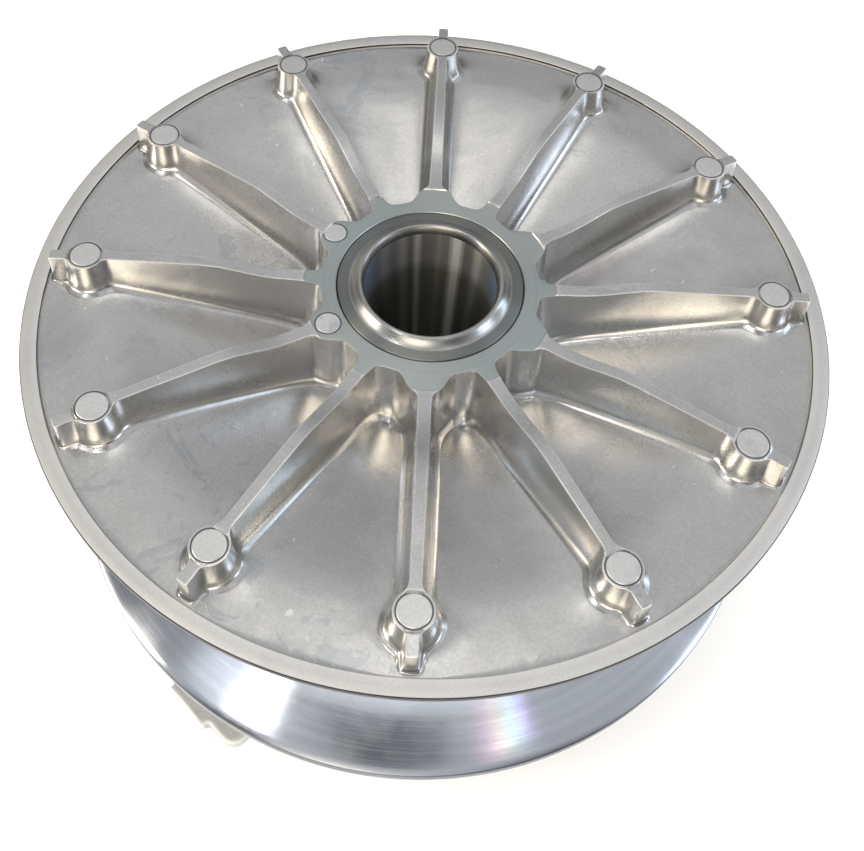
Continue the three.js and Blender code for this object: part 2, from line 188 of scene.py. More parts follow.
def spline(pts, n):
    """n + 1 points along a Catmull-Rom curve through pts, evenly by chord length."""
    p = np.array(pts, float)
    q = np.vstack([2 * p[0] - p[1], p, 2 * p[-1] - p[-2]])
    dense = []
    for i in range(1, len(q) - 2):
        for t in np.linspace(0, 1, 24, endpoint=False):
            dense.append(0.5 * ((2 * q[i]) + (q[i + 1] - q[i - 1]) * t + (2 * q[i - 1] - 5 * q[i] + 4 * q[i + 1] - q[i + 2]) * t * t
                                + (3 * q[i] - q[i - 1] - 3 * q[i + 1] + q[i + 2]) * t ** 3))
    dense.append(p[-1])
    dense = np.array(dense)
    s = np.concatenate([[0], np.cumsum(np.linalg.norm(np.diff(dense, axis=0), axis=1))])
    t = np.linspace(0, s[-1], n + 1)
    return np.stack([np.interp(t, s, dense[:, k]) for k in range(dense.shape[1])], axis=1)


def arc_pts(cx, cy, r, a0, a1, n):
    a = np.radians(np.linspace(a0, a1, n + 1))
    return np.stack([cx + r * np.cos(a), cy + r * np.sin(a)], axis=1)


def smooth_table(pts, window):
    """Function of one variable: the broken line through pts, rounded over a window."""
    x = np.arange(pts[0][0] - 10, pts[-1][0] + 10, 0.1)
    y = np.interp(x, [p[0] for p in pts], [p[1] for p in pts])
    k = np.hanning(int(window / 0.1) | 1)
    k /= k.sum()
    pad = len(k) // 2
    ys = np.convolve(np.pad(y, pad, mode="edge"), k, mode="valid")
    return lambda q: np.interp(q, x, ys)


# -------------------------------------------------------------- material tools
class Mat:
    def __init__(self, name, base, rough, metal=1.0, aniso=0.0, spec=0.5, coat=0.0):
        self.m = bpy.data.materials.new(name)
        self.m.use_nodes = True
        self.t = self.m.node_tree
        self.n = self.t.nodes
        self.b = self.n["Principled BSDF"]
        self.b.inputs["Base Color"].default_value = (*base, 1)
        self.b.inputs["Roughness"].default_value = rough
        self.b.inputs["Metallic"].default_value = metal
        self.b.inputs["Anisotropic"].default_value = aniso
        self.b.inputs["Coat Weight"].default_value = coat
        self.b.inputs["Specular IOR Level"].default_value = spec
        self.co = self.n.new("ShaderNodeTexCoord").outputs["Object"]
        self.height = None

    def link(self, a, b):
        self.t.links.new(a, b)

    def math(self, op, a, b=None, clamp=False):
        n = self.n.new("ShaderNodeMath")
        n.operation = op
        n.use_clamp = clamp
        for i, v in enumerate((a, b)):
            if v is None:
                continue
            if isinstance(v, (int, float)):
                n.inputs[i].default_value = v
            else:
                self.link(v, n.inputs[i])
        return n.outputs[0]

    def radius(self):
        s = self.n.new("ShaderNodeSeparateXYZ")
        self.link(self.co, s.inputs[0])
        self.x, self.y, self.z = s.outputs
        r2 = self.math("ADD", self.math("MULTIPLY", self.x, self.x), self.math("MULTIPLY", self.y, self.y))
        return self.math("SQRT", r2)

    def noise(self, scale, detail=3.0, rough=0.55, dist=0.0, vec=None, stretch=None, w=None):
        n = self.n.new("ShaderNodeTexNoise")
        n.inputs["Scale"].default_value = scale
        n.inputs["Detail"].default_value = detail
        n.inputs["Roughness"].default_value = rough
        n.inputs["Distortion"].default_value = dist
        if w is not None:
            n.noise_dimensions = "1D"
            self.link(w, n.inputs["W"])
            return n.outputs["Fac"]
        v = vec or self.co
        if stretch:
            m = self.n.new("ShaderNodeMapping")
            m.inputs["Scale"].default_value = stretch
            self.link(v, m.inputs["Vector"])
            v = m.outputs[0]
        self.link(v, n.inputs["Vector"])
        return n.outputs["Fac"]

    def ramp(self, fac, stops):
        r = self.n.new("ShaderNodeValToRGB")
        r.color_ramp.interpolation = "EASE"
        els = r.color_ramp.elements
        while len(els) < len(stops):
            els.new(0.5)
        for e, (p, c) in zip(els, stops):
            e.position = p
            e.color = (*c, 1) if len(c) == 3 else c
        self.link(fac, r.inputs[0])
        return r.outputs[0]

    def remap(self, v, a0, a1, b0, b1):
        n = self.n.new("ShaderNodeMapRange")
        n.clamp = True
        for i, x in enumerate((a0, a1, b0, b1)):
            n.inputs[1 + i].default_value = x
        self.link(v, n.inputs[0])
        return n.outputs[0]

    def mix(self, fac, a, b, mode="MIX"):
        n = self.n.new("ShaderNodeMix")
        n.data_type = "RGBA"
        n.blend_type = mode
        for sock, v in ((n.inputs[0], fac), (n.inputs[6], a), (n.inputs[7], b)):
            if isinstance(v, (int, float)):
                sock.default_value = v
            elif isinstance(v, (tuple, list)):
                sock.default_value = (*v, 1) if len(v) == 3 else v
            else:
                self.link(v, sock)
        return n.outputs[2]

    def colour(self, out):
        self.link(out, self.b.inputs["Base Color"])

    def rough(self, out):
        self.link(out, self.b.inputs["Roughness"])

    def bump(self, h, strength, distance):
        n = self.n.new("ShaderNodeBump")
        n.inputs["Strength"].default_value = strength
        n.inputs["Distance"].default_value = distance
        self.link(h, n.inputs["Height"])
        if self.height is not None:
            self.link(self.height, n.inputs["Normal"])
        self.height = n.outputs[0]
        self.link(self.height, self.b.inputs["Normal"])

    def radial_tangent(self, axis="Z"):
        n = self.n.new("ShaderNodeTangent")
        n.direction_type = "RADIAL"
        n.axis = axis
        self.link(n.outputs[0], self.b.inputs["Tangent"])
        self.b.inputs["Anisotropic Rotation"].default_value = 0.25     # grooves run round the axis


def cast_aluminium(name, base, stain=0.5, rough=0.42, paint_edge_light_and_crease_shade=True):
    m = Mat(name, base, rough, metal=0.94)
    big = m.noise(17.0, 4.0, 0.62, 1.4)
    mid = m.noise(70.0, 5.0, 0.6, 0.6)
    fine = m.noise(1500.0, 4.0, 0.7)
    dark = tuple(c * k for c, k in zip(base, (0.72, 0.745, 0.77)))
    lite = tuple(min(1.0, c * 1.10) for c in base)
    c = m.mix(m.remap(mid, 0.33, 0.70, 0.0, 1.0), lite, base)
    c = m.mix(m.math("MULTIPLY", m.remap(big, 0.56, 0.70, 0.0, 1.0), stain), c, dark)
    blotch = m.noise(46.0, 5.0, 0.68, 2.2)
    where = m.remap(m.noise(11.0, 2.0, 0.5), 0.46, 0.60, 0.0, 1.0)
    tc = m.n.new("ShaderNodeTexCoord")
    sep = m.n.new("ShaderNodeSeparateXYZ")
    m.link(tc.outputs["Normal"], sep.inputs[0])
    flat = m.remap(sep.outputs[2], 0.86, 0.955, 0.0, 1.0)
    mask = m.math("MULTIPLY", m.math("MULTIPLY", m.remap(blotch, 0.575, 0.61, 0.0, 0.7 * stain), where), flat)
    c = m.mix(mask, c, (base[0] * 0.66, base[1] * 0.74, base[2] * 0.82))
    speck = m.noise(1300.0, 2.0, 0.6)
    c = m.mix(m.remap(speck, 0.36, 0.64, 0.0, 0.24), c, tuple(x * 0.66 for x in base))
    nick = m.noise(230.0, 2.0, 0.6, 1.5)
    c = m.mix(m.math("MULTIPLY", m.remap(nick, 0.735, 0.75, 0.0, 0.8), flat), c, (0.92, 0.92, 0.91))
    # convex edges are painted paler as a painted highlight, and concave corners are painted darker as painted shade
    if paint_edge_light_and_crease_shade:
        wear_and_edge_shading = m.n.new("ShaderNodeNewGeometry").outputs["Pointiness"]
        c = m.mix(m.remap(wear_and_edge_shading, 0.506, 0.545, 0.0, 0.8), c, (0.90, 0.90, 0.89))
        c = m.mix(m.remap(wear_and_edge_shading, 0.493, 0.45, 0.0, 0.6), c, tuple(x * 0.45 for x in base))
    m.colour(c)
    r = m.math("ADD", m.remap(mid, 0.3, 0.7, rough - 0.03, rough + 0.05), m.remap(fine, 0.3, 0.7, -0.015, 0.02))
    m.rough(r)
    m.bump(m.noise(38.0, 2.0, 0.5), 0.30, 0.0012)
    m.bump(m.noise(190.0, 1.0, 0.4), 0.03, 0.0003)
    m.bump(m.noise(1100.0, 1.0, 0.5), 0.05, 0.00006)
    return m.m


def turned(name, base, rough, aniso, lines=2600.0, depth=0.00002, strength=0.4, tint=None, axis="r", scratch=0.0, metal=1.0):
    m = Mat(name, base, rough, metal=metal, aniso=aniso)
    r = m.radius()
    along = m.z if axis == "z" else r
    line = m.noise(lines, 3.0, 0.7, w=along)
    broad = m.noise(lines * 0.06, 2.0, 0.5, w=along)
    cloud = m.noise(60.0, 3.0, 0.5)
    d = tuple(c * 0.86 for c in base) if tint is None else tint
    c = m.mix(m.remap(broad, 0.35, 0.65, 0.0, 1.0), base, d)
    c = m.mix(m.remap(line, 0.3, 0.75, 0.0, 0.35), c, tuple(x * 0.78 for x in base))
    m.colour(c)
    m.rough(m.math("ADD", m.remap(cloud, 0.35, 0.7, rough - 0.03, rough + 0.05), m.remap(line, 0.3, 0.7, -0.03, 0.05)))
    m.bump(line, strength, depth)
    if scratch:
        s = m.noise(240.0, 6.0, 0.8, 2.0)
        m.bump(m.remap(s, 0.60, 0.63, 0.0, 1.0), scratch, 0.00003)
    if aniso:
        m.radial_tangent()
    return m.m


CAST = cast_aluminium("cast_aluminium", (0.635, 0.63, 0.62), 0.62, 0.235)
CAST_BACK = cast_aluminium("cast_aluminium_back", (0.56, 0.57, 0.58), 0.5, 0.42)
CAST_COVER = cast_aluminium("cast_cover", (0.58, 0.58, 0.57), 0.4, 0.45)
CAST_SPIDER = cast_aluminium("cast_spider", (0.50, 0.51, 0.52), 0.5, 0.46)
EJECT = cast_aluminium("ejector_mark", (0.82, 0.82, 0.805), 1.0, 0.36, False)
EJECT_EDGE = cast_aluminium("ejector_mark_edge", (0.17, 0.17, 0.175), 0.3, 0.45, False)
PLATE = turned("machined_plate", (0.60, 0.66, 0.645), 0.38, 0.72, 900.0, 0.00001, 0.25, scratch=0.25, tint=(0.57, 0.62, 0.605))
BAND = cast_aluminium("machined_band", (0.77, 0.75, 0.72), 0.35, 0.48)
# painted shade: dark bluish base colour on the movable disc's upper edge chamfer and outer cylinder
MOVABLE_EDGE_SHADE = turned("rim_edge", (0.19, 0.205, 0.245), 0.30, 0.3, 2200.0, 0.00001, 0.3, axis="z")
FACE = turned("belt_face", (0.755, 0.79, 0.85), 0.13, 0.82, 3200.0, 0.000010, 0.3)
# painted shade: near-black base on the fixed sheave's outer rim cylinder and on the small step between web and band
FIXED_EDGE_SHADE = turned("fixed_rim_edge_painted_shade", (0.055, 0.05, 0.052), 0.32, 0.3, 2200.0, 0.00001, 0.3, axis="z")
FACE_EDGE = turned("belt_face_edge", (0.86, 0.85, 0.82), 0.22, 0.3, 2600.0, 0.00001, 0.3, axis="z")
FLANGE = turned("steel_flange", (0.31, 0.325, 0.315), 0.36, 0.92, 2200.0, 0.00001, 0.3)
COLLAR = turned("steel_collar", (0.56, 0.56, 0.55), 0.27, 0.86, 2600.0, 0.000012, 0.3)
def bore_steel():
    """Turned bore with painted light: paler round the mouth as a painted highlight, darker below as painted shade, with
    painted reflection streaks along the axis and a painted blue reflection at the two sides of the mouth.
    """
    m = Mat("steel_bore", (0.6, 0.6, 0.55), 0.38, metal=0.72, aniso=0.9)
    m.radius()
    ang = m.math("ARCTAN2", m.y, m.x)
    wave = m.noise(6.0, 2.0, 0.5, w=ang)

    # each band is a painted reflection streak at one azimuth round the bore
    def band(deg, half, amp):
        off = m.math("ABSOLUTE", m.math("SUBTRACT", ang, math.radians(deg)))
        return m.remap(off, math.radians(half), math.radians(half * 0.25), 0.0, amp)

    streak = m.remap(m.noise(2.2, 2.0, 0.5, w=ang), 0.35, 0.7, 0.0, 0.16)
    for deg, half, amp in ((67, 8.5, 0.95), (104, 5.0, 0.62), (118, 7.0, 0.30), (84, 4.0, 0.12), (45, 7.0, 0.22), (138, 9.0, 0.16), (-100, 22.0, 0.18)):
        streak = m.math("ADD", streak, band(deg, half, amp))
    streak = m.math("MULTIPLY", streak, m.remap(wave, 0.3, 0.7, 0.9, 1.1), clamp=True)
    line = m.noise(1900.0, 3.0, 0.7, w=m.z)
    # painted shade deep in the bore, painted highlight round the mouth
    painted_shade_deep = m.ramp(streak, [(0.0, (0.085, 0.085, 0.075)), (0.5, (0.24, 0.235, 0.20)), (1.0, (0.62, 0.60, 0.54))])
    painted_highlight_mouth = m.ramp(streak, [(0.0, (0.20, 0.20, 0.20)), (0.5, (0.50, 0.49, 0.48)), (1.0, (0.98, 0.96, 0.94))])
    c = m.mix(m.remap(m.z, 0.1680, 0.1730, 0.0, 1.0), painted_shade_deep, painted_highlight_mouth)
    # painted blue reflection at the left and right sides of the mouth
    side = m.math("MULTIPLY", m.remap(m.math("ABSOLUTE", m.y), 0.0105, 0.0035, 0.0, 0.85), m.remap(m.z, 0.1700, 0.1790, 0.0, 1.0))
    c = m.mix(side, c, (0.26, 0.40, 0.62))
    c = m.mix(m.remap(line, 0.3, 0.75, 0.0, 0.35), c, (0.20, 0.195, 0.17))
    m.colour(c)
    m.rough(m.remap(line, 0.3, 0.7, 0.34, 0.44))
    m.bump(line, 0.3, 0.00002)
    m.radial_tangent()
    return m.m


BORE = bore_steel()
STEEL = turned("turned_steel", (0.47, 0.46, 0.44), 0.26, 0.4, 2000.0, 0.00002, 0.35, axis="z")


def steel(name, base, rough, tint, metal=1.0, wear_and_edge_shading=0.0):
    """Small turned, plated or blacked pieces: soft clouding, fine scratches and worn patches."""
    m = Mat(name, base, rough, metal=metal)
    cloud = m.noise(120.0, 4.0, 0.6, 0.5)
    fine = m.noise(2400.0, 3.0, 0.6)
    streak = m.noise(900.0, 4.0, 0.7, 0.0, stretch=(1.0, 1.0, 0.08))
    c = m.mix(m.remap(cloud, 0.35, 0.65, 0.0, 1.0), base, tint)
    c = m.mix(m.remap(streak, 0.45, 0.75, 0.0, 0.4), c, tuple(x * 0.72 for x in base))
    if wear_and_edge_shading:
        c = m.mix(m.math("MULTIPLY", m.remap(m.noise(330.0, 4.0, 0.7), 0.56, 0.68, 0.0, 1.0), wear_and_edge_shading), c, (0.45, 0.44, 0.42))
    m.colour(c)
    m.rough(m.math("ADD", m.remap(cloud, 0.3, 0.7, rough - 0.05, rough + 0.07), m.remap(fine, 0.3, 0.7, -0.03, 0.04)))
    m.bump(fine, 0.25, 0.00005)
    m.bump(streak, 0.15, 0.00003)
    return m.m


GROUND = steel("ground_steel", (0.55, 0.54, 0.52), 0.20, (0.60, 0.59, 0.57))
BLACK = steel("black_steel", (0.095, 0.095, 0.10), 0.42, (0.13, 0.125, 0.12), metal=0.85, wear_and_edge_shading=0.35)
SPRING = steel("spring_steel", (0.15, 0.17, 0.21), 0.34, (0.21, 0.22, 0.25), metal=0.9, wear_and_edge_shading=0.2)
ZINC = steel("zinc_steel", (0.68, 0.68, 0.64), 0.30, (0.60, 0.61, 0.60))
BRONZE = steel("bronze", (0.55, 0.38, 0.18), 0.36, (0.44, 0.29, 0.14))
LINER = steel("liner", (0.15, 0.14, 0.13), 0.50, (0.20, 0.19, 0.17), metal=0.0)


# ---------------------------------------------------------------- fixed sheave
web = smooth_table([(30, -17.0), (45, -12.8), (58, -9.6), (69, -6.8), (80, -4.0), (88, -2.1), (93, -1.35), (99.5, -1.2), (112, -1.2)], 5.0)
rib_top = smooth_table([(30, 5.3), (37, 5.3), (44, 5.42), (49, 6.0), (54, 7.35), (60, 8.9), (65, 9.3), (100, 9.3)], 4.0)
PLATE_Z = 5.05


def half_rows(ear):
    """Rows of one half sector: inner point I, top edge O, root line F and outer point B, in plan."""
    if ear:
        o1 = [(30.33, 8.13), (30.75, 7.45), (31.35, 6.85), (32.4, 6.15), (33.5, 5.6), (34.4, 5.1), (35.3, 4.45), (36.15, 3.8)]
        o2 = [(36.45, 3.42), (37.35, 2.35), (38.5, 1.98), (40, 1.9)]
        f1 = [(34.77, 9.32), (35.3, 8.75), (36.0, 8.15), (36.9, 7.5), (37.8, 6.95), (38.6, 6.5), (39.3, 6.2), (40, 5.95)]
    else:
        o1 = [(30.33, 8.13), (30.7, 6.6), (31.05, 5.2), (31.45, 3.95), (31.95, 3.2), (32.7, 2.7), (33.8, 2.4), (36.15, 2.1)]
        o2 = [(36.45, 2.08), (37.3, 2.0), (38.5, 1.95), (40, 1.9)]
        f1 = [(34.77, 9.32), (35.0, 8.5), (35.4, 7.6), (36.0, 6.8), (36.9, 6.2), (38.0, 5.8), (39, 5.55), (40, 5.4)]
    I = [(27.2 * math.cos(math.radians(a)), 27.2 * math.sin(math.radians(a))) for a in np.linspace(15, 0, 13)]
    I += [(x, 0.0) for x in (28.6, 30.2, 32.0, 33.6, 35.0, 36.15, 36.45, 37.3, 38.5, 40.0)]
    O = [tuple(p) for p in spline(o1, 18)] + o2
    F = [tuple(p) for p in spline(f1, 22)]
    B = [(r, 15.0) for r in np.linspace(36.0, 41.2, 23)]
    # straight rib
    xs = [42, 44.5, 47.5, 51, 55, 60, 65, 70, 75, 80, 85, 88, 90.59]
    f40 = 5.95 if ear else 5.4
    fy = [f40 - (f40 - 5.1) * 0.6, 5.12, 5.0] + [5.0] * 8 + [5.0, 5.06]
    for x, y in zip(xs, fy):
        I.append((x, 0.0))
        O.append((x, 1.9 - 0.4 * (x - 40) / 50.59))
        F.append((x if x < 90 else 89.9, y))
        B.append((x + 1.2 if x < 60 else x + 1.2 + (x - 60) * 0.09, 15.0))
    # flare into the boss
    O += [tuple(p) for p in arc_pts(90.59, 5.5, 4.0, -90, -36.96, 5)[1:]]
    F += [tuple(p) for p in spline([(89.9, 5.06), (91.2, 5.3), (92.5, 5.88)], 5)[1:]]
    I += [(x, 0.0) for x in np.linspace(90.59, 93.8, 6)[1:]]
    # boss
    O += [tuple(p) for p in arc_pts(97.9, 0, 5.15, 143.04, 30.2, 14)[1:]]
    F += [tuple(p) for p in arc_pts(97.9, 0, 8.0, 132.6, 36.0, 14)[1:]]
    I += [(x, 0.0) for x in np.linspace(93.8, 102.35, 15)[1:]]
    # neck and tail
    O += [tuple(p) for p in arc_pts(104.08, 3.6, 2.0, 210.2, 270, 4)[1:]]
    F += [tuple(p) for p in spline([(104.37, 4.7), (105.3, 3.75), (106.6, 3.3)], 4)[1:]]
    I += [(x, 0.0) for x in np.linspace(102.35, 104.08, 5)[1:]]
    O += [(105.5, 1.62), (106.7, 1.62), (107.7, 1.6)]
    F += [(107.6, 3.15), (108.5, 3.0), (109.2, 2.7)]
    I += [(105.5, 0.0), (106.7, 0.0), (107.4, 0.0)]
    O += [tuple(p) for p in arc_pts(107.7, 0.95, 0.65, 90, 0, 4)[1:]] + [(108.4, 0.0)]
    F += [(109.6, 2.2), (109.75, 1.6), (109.82, 1.0), (109.86, 0.5), (109.87, 0.0)]
    I += [(107.5, 0.0), (107.6, 0.0), (107.7, 0.0), (107.8, 0.0), (107.9, 0.0)]
    left = len(O) - len(B)
    n_line = 12
    last = B[-1][0]
    B += [(r, 15.0) for r in np.linspace(last, 109.9, n_line + 1)[1:]]
    B += [(109.9, a) for a in np.linspace(15, 0, left - n_line + 1)[1:]]
    corner = len(O) - (left - n_line) - 1
    B = [(r * math.cos(math.radians(a)), r * math.sin(math.radians(a))) for r, a in B]
    return [np.array(q, float) for q in (I, O, F, B)] + [corner]


def half_sector(bag, ear, turn, mirror):
    I, O, F, B, corner = half_rows(ear)
    n = len(O)
    x_o = O[:, 0]
    rows = np.arange(n)
    # heights of the top, row by row
    top = rib_top(np.hypot(I[:, 0], I[:, 1]))
    top = np.where(rows <= 18, PLATE_Z, top)
    boss = (I[:, 0] > 93.5) & (I[:, 0] < 102.6)
    top = np.where(boss, 9.0, top)
    tail = I[:, 0] >= 102.6
    top = np.where(tail, np.interp(I[:, 0], [102.6, 103.2, 109.0], [8.85, 8.65, 8.4]), top)
    e = np.where(rows <= 18, 0.22, 0.34)
    cols = []
    D = F - O
    L = np.linalg.norm(D, axis=1)
    N = D / np.maximum(L, 1e-9)[:, None]
    # top, from the inside to the rounded edge
    inner = O - N * e[:, None]
    inner[-1] = I[-1]
    for s in (0.0, 0.4, 0.78, 1.0):
        p = I + (inner - I) * s
        cols.append(np.column_stack([p, top]))
    for s, dz in ((0.70, 0.10), (0.93, 0.42), (1.0, 1.0)):
        p = O - N * (e * (1 - s))[:, None]
        cols.append(np.column_stack([p, top - e * dz]))
    # wall and root fillet
    base = web(np.hypot(F[:, 0], F[:, 1]))
    H = top - base
    rho = np.clip(L * np.interp(I[:, 0], [90.0, 97.0, 103.0], [0.80, 0.62, 0.45]), 0.35, 3.6)
    dw = L - 0.30 - rho
    tall = np.minimum(rho * np.interp(I[:, 0], [86.0, 93.0, 101.0, 103.5], [3.0, 1.7, 1.2, 1.0]), H * 0.62)
    pad = 0.22 * np.clip((L - 1.0) / 2.0, 0, 1) + 0.75 * np.clip((np.linalg.norm(B - F, axis=1) - 3.0) / 12.0, 0, 1) * np.interp(I[:, 0], [98.0, 105.0], [1.0, 0.0])
    for s in (0.33, 0.67, 1.0):
        p = O + N * (dw * s)[:, None]
        z0 = top - e
        z1 = web(np.hypot(p[:, 0], p[:, 1])) + tall + pad
        cols.append(np.column_stack([p, z0 + (z1 - z0) * s]))
    for f in (14, 28, 42, 56, 72, 90):
        f = math.radians(f)
        p = O + N * (dw + rho * (1 - math.cos(f)))[:, None]
        cols.append(np.column_stack([p, web(np.hypot(p[:, 0], p[:, 1])) + tall * (1 - math.sin(f)) + pad]))
    cols.append(np.column_stack([F, base]))
    # floor of the pocket
    W = np.linalg.norm(B - F, axis=1)
    dish = 0.75 * np.clip((W - 3.0) / 12.0, 0, 1) * np.interp(I[:, 0], [98.0, 105.0], [1.0, 0.0])
    cols[-1][:, 2] += dish
    for s in (0.04, 0.09, 0.15, 0.22, 0.30, 0.40, 0.52, 0.66, 0.82, 1.0):
        p = F + (B - F) * s
        fade = np.exp(-W * s / 4.5) * (1 - s) ** 2
        cols.append(np.column_stack([p, web(np.hypot(p[:, 0], p[:, 1])) + dish * fade]))
    G = np.stack(cols, axis=1)
    ca, sa = math.cos(math.radians(turn)), math.sin(math.radians(turn))

    def put(p):
        q = p.copy()
        rr, an, edge = np.hypot(q[..., 0], q[..., 1]), np.arctan2(q[..., 1], q[..., 0]), math.radians(15)
        near = (np.abs(an - edge) < 4e-4) & (rr > 5)
        q[..., 0] = np.where(near, rr * math.cos(edge), q[..., 0])
        q[..., 1] = np.where(near, rr * math.sin(edge), q[..., 1])
        if mirror:
            q[..., 1] = -q[..., 1]
        x, y = q[..., 0] * ca - q[..., 1] * sa, q[..., 0] * sa + q[..., 1] * ca
        q[..., 0], q[..., 1] = x, y
        return q

    bag.grid(put(G), flip=mirror, mat=lambda i, j: 1 if (i < 18 and j < 5) else 0)
    # rim, belt face and bore, on the angles of the outer rows
    a = np.arctan2(B[corner:, 1], B[corner:, 0])
    # material 3 is the painted shade on the step at the web's edge and on the rim's outer cylinder
    prof = [(109.9, -1.2, 0), (110.2, -1.12, 2), (110.38, -0.8, 2), (110.45, -0.12, 3), (110.6, 0.0, 2), (112.6, 0.0, 2), (114.75, 0.0, 2), (114.93, -0.07, 3),
            (115.0, -0.25, 3), (115.0, -1.1, 3), (115.0, -1.95, 3), (114.9, -2.1, 2), (113.9, -3.55, 2), (113.7, -3.82, 4), (108.0, -5.25, 4), (90.0, -9.62, 4),
            (70.0, -14.5, 4), (50.0, -19.4, 4), (31.3, -23.95, 4), (30.6, -24.25, 4), (29.8, -24.3, 4), (21.8, -24.3, 0), (21.8, -12.3, 0)]
    P = np.zeros((len(a), len(prof), 3))
    for j, (r, z, _) in enumerate(prof):
        P[:, j] = np.column_stack([r * np.cos(a), r * np.sin(a), np.full(len(a), z)])
    bag.grid(put(P), flip=mirror, mat=[prof[j + 1][2] for j in range(len(prof) - 1)])
    ai = np.radians(np.linspace(15, 0, 13))
    ring = lambda r, z: np.column_stack([r * np.cos(ai), r * np.sin(ai), np.full(13, z)])
    bag.strip(put(P[:, -1]), put(ring(27.0, -12.3)), flip=not mirror, mat=0)
    C = np.stack([ring(27.0, -12.3), ring(27.0, -4.0), ring(27.0, 4.85), ring(27.2, PLATE_Z)], axis=1)
    bag.grid(put(C), flip=mirror, mat=1)


def fixed_sheave():
    bag = Bag()
    for k in range(12):
        ear = k % 2 == 0
        for mirror in (False, True):
            half_sector(bag, ear, -90 - 30 * k, mirror)
    return make("fixed_sheave_body", bag.v, bag.f, "fixed_assembly", [CAST, PLATE, BAND, FIXED_EDGE_SHADE, FACE], bag.m,
                nodes=("fixed_sheave",), angle=38)


fixed_sheave()

# ejector marks on the bosses and on two of the ears
bag = Bag()
marks = [(97.9, -90 - 30 * k, 4.45, 9.0) for k in range(12)] + [(32.2, -150, 3.7, PLATE_Z), (33.4, -210, 3.6, PLATE_Z)]
for r, a, rad, z in marks:
    c, s = math.cos(math.radians(a)), math.sin(math.radians(a))
    n = 48
    prof = [(0.0, z - 0.3), (rad + 0.12, z - 0.3), (rad + 0.12, z + 0.03), (rad - 0.30, z + 0.02), (rad - 0.42, z + 0.10), (rad * 0.5, z + 0.10), (0.0, z + 0.10)]
    revolve(bag, prof, n, [1, 1, 1, 0, 0, 0], (r * c, r * s), closed=False)
make("ejector_marks", bag.v, bag.f, "fixed_assembly", [EJECT, EJECT_EDGE], bag.m, angle=20)

# ----------------------------------------------------------------------- shaft
bag = Bag()
prof = [(19.75, 6.78), (19.98, 7.04), (20.3, 7.1), (20.75, 7.02), (21.3, 6.70), (21.8, 6.26), (22.3, 5.82), (22.9, 5.42), (23.5, 5.16), (24.2, 5.05),
        (26.45, 5.05), (26.6, 5.0), (26.68, 4.88), (26.68, -12.0), (21.5, -12.0), (21.5, -57.5), (18.95, -57.6), (18.95, -59.25), (20.0, -59.35),
        (20.0, -106.3), (19.8, -106.5), (18.0, -106.5)]
mat = [2] * 3 + [1] * 5 + [0] * 5 + [0] * 9
# spider thread, as grooves
z = -108.0
while z > -125.0:
    prof += [(18.0, z), (17.1, z - 0.75)]
    mat += [4, 4]
    z -= 1.5
prof += [(18.0, -125.6), (17.2, -126.4), (13.2, -126.5), (13.0, -126.8), (13.0, -174.9), (12.0, -176.0), (8.6, -176.0), (8.1, -175.4)]
mat += [4, 4, 4, 4, 4, 4, 4, 4]
z = -173.0
while z > -159.0 - 15 and z < -158.0:
    prof += [(8.1, z), (7.3, z + 0.7)]
    mat += [4, 4]
    z += 1.4
prof += [(8.0, -158.0), (6.6, -159.0 + 2), (6.6, -66.0), (15.0, -61.2), (15.9, -60.8), (16.0, -57.0), (16.6, -45.0), (17.2, -33.0), (17.8, -21.0), (18.62, -9.6),
         (18.68, -9.0), (18.76, -8.0), (18.88, -6.0), (19.02, -2.0), (19.12, 4.3), (19.25, 5.4), (19.45, 6.2)]
mat += [4, 4, 4, 3, 3, 3, 3, 3, 3, 3, 3, 3, 3, 3, 2, 2, 2]
mat = (mat + [2] * len(prof))[:len(prof)]
revolve(bag, prof, 224, mat)
make("shaft", bag.v, bag.f, "fixed_assembly", [FLANGE, COLLAR, COLLAR, BORE, STEEL], bag.m, nodes=("clutch_shaft",), angle=40)

# --------------------------------------------------------------- movable sheave
COVER_Z, ROLLER_AT, PIVOT_AT = -138.0, (80.0, -93.5), (66.0, -81.5)


def cap_prism(bag, ring_lo, ring_hi, mat=0):
    n = len(ring_lo)
    f = [tuple(range(n))[::-1], tuple(range(n, 2 * n))] + [(i, (i + 1) % n, n + (i + 1) % n, n + i) for i in range(n)]
    bag.add(list(ring_lo) + list(ring_hi), f, mat)


def side_prism(bag, pts, t0, t1, deg):
    """(r, z) outline of a piece that stands radially, from t0 to t1 across."""
    c, s = math.cos(math.radians(deg)), math.sin(math.radians(deg))
    cap_prism(bag, *[[(r * c - t * s, r * s + t * c, z) for r, z in pts] for t in (t0, t1)])


def flat_prism(bag, pts, z0, z1, deg):
    c, s = math.cos(math.radians(deg)), math.sin(math.radians(deg))
    cap_prism(bag, *[[(x * c - y * s, x * s + y * c, z) for x, y in pts] for z in (z0, z1)])


def cross_turned(bag, profile, at, deg, n=48, mat=0):
    """Turned piece whose axis lies across the radius at (r, z); profile is (radius, t)."""
    c, s = math.cos(math.radians(deg)), math.sin(math.radians(deg))
    pts = list(profile)
    if pts[0][0] > 1e-6 or pts[-1][0] > 1e-6:
        pts.append(pts[0])
    a = np.arange(n) * 2 * math.pi / n
    p = np.zeros((n, len(pts), 3))
    for j, (q, t) in enumerate(pts):
        r, z = at[0] + q * np.cos(a), at[1] + q * np.sin(a)
        p[:, j] = np.column_stack([r * c - t * s, r * s + t * c, z])
    bag.grid(p, close_u=True, mat=mat)


